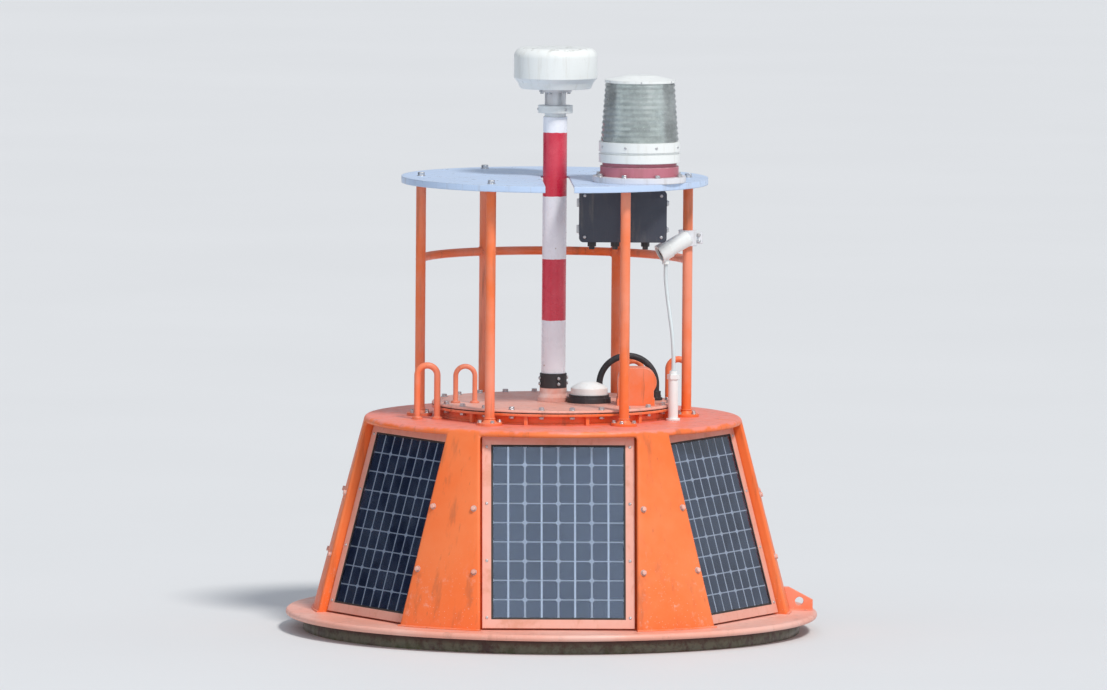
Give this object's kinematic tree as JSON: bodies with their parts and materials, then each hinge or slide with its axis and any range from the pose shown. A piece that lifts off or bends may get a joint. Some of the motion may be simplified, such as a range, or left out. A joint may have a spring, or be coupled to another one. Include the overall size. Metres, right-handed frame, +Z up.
{
  "type": "navigation buoy",
  "caption": "Orange conical buoy with solar panels on its flats, a round rim, a deck frame, a banded mast, a lantern and a keel tube with mooring swivel.",
  "frame": {"origin": "on the buoy's axis at the waterline", "axes": "+Z up along the mast, -Y towards the viewer of the picture, +X to the viewer's right, the lantern's side"},
  "size_m": [1.5, 1.5, 2.785],
  "materials": {
    "float_paint": "satin orange paint, faded and scuffed",
    "worn_paint": "orange paint worn pale and salmon",
    "antifouling": "matt dark bottom paint",
    "panel_alloy": "satin, weathered",
    "solar_cells": "glass over dark blue cells with silver bars",
    "white_paint": "satin white paint",
    "mast_paint": "gloss paint in red and white bands",
    "white_housing": "moulded, slightly glossy",
    "lens": "clear ribbed lens",
    "lamp_core": "grey lamp module",
    "dark_plastic": "black moulded",
    "box_grey": "dark grey enamel",
    "cable_sheath": "light grey sheath",
    "black_sheath": "black sheath",
    "iron": "rough, rust tinted",
    "galvanised": "hot dip galvanised, dull",
    "zinc": "cast zinc, pitted"
  },
  "bodies": {
    "root": {"float_upper": "float_paint", "float_lower": "antifouling", "rim_flange": "worn_paint", "towing_lug": "float_paint", "panel_frame_1": "panel_alloy", "panel_frame_2": "panel_alloy", "panel_frame_3": "panel_alloy", "panel_frame_4": "panel_alloy", "panel_frame_5": "panel_alloy", "panel_frame_6": "panel_alloy", "panel_glass_1": "solar_cells", "panel_glass_2": "solar_cells", "panel_glass_3": "solar_cells", "panel_glass_4": "solar_cells", "panel_glass_5": "solar_cells", "panel_glass_6": "solar_cells", "hatch_neck": "float_paint", "hatch_gasket": "dark_plastic", "hatch_lid": "worn_paint", "lid_handle_left": "float_paint", "lid_handle_right": "float_paint", "lifting_bar_left": "float_paint", "lifting_bar_right": "float_paint", "cable_box": "float_paint", "cable_loop": "black_sheath", "vent_base": "dark_plastic", "vent_cap": "white_housing", "post_1": "float_paint", "post_2": "float_paint", "post_3": "float_paint", "post_4": "float_paint", "post_5": "float_paint", "post_6": "float_paint", "mid_rail": "float_paint", "top_plate": "white_paint", "mast_foot": "dark_plastic", "mast_tube": "mast_paint", "mast_collar": "white_housing", "antenna_neck": "panel_alloy", "antenna_dome": "white_housing", "lantern_flange": "white_paint", "lantern_neck": "worn_paint", "lantern_ring": "white_housing", "lantern_lens": "lens", "lantern_cap": "white_housing", "lantern_core": "lamp_core", "control_box": "box_grey", "box_rails": "panel_alloy", "box_glands": "dark_plastic", "camera": "white_housing", "camera_clamp": "white_paint", "camera_cable": "cable_sheath", "cable_gland": "white_housing", "tail_tube": "antifouling", "ballast_discs": "iron", "anodes": "zinc", "swivel_yoke": "galvanised"},
    "swivel": {"mooring_swivel": "galvanised"},
    "shackle": {"shackle_bow": "galvanised", "shackle_pin": "galvanised"}
  },
  "joints": [
    {"name": "swivel_turn", "type": "hinge", "parent": "root", "child": "swivel", "pos_m": [0, 0, -0.93], "axis": [0, 0, 1], "continuous": true},
    {"name": "shackle_swing", "type": "hinge", "parent": "swivel", "child": "shackle", "pos_m": [0, 0, -0.998], "axis": [0, 1, 0], "range_deg": [-80, 80]}
  ]
}
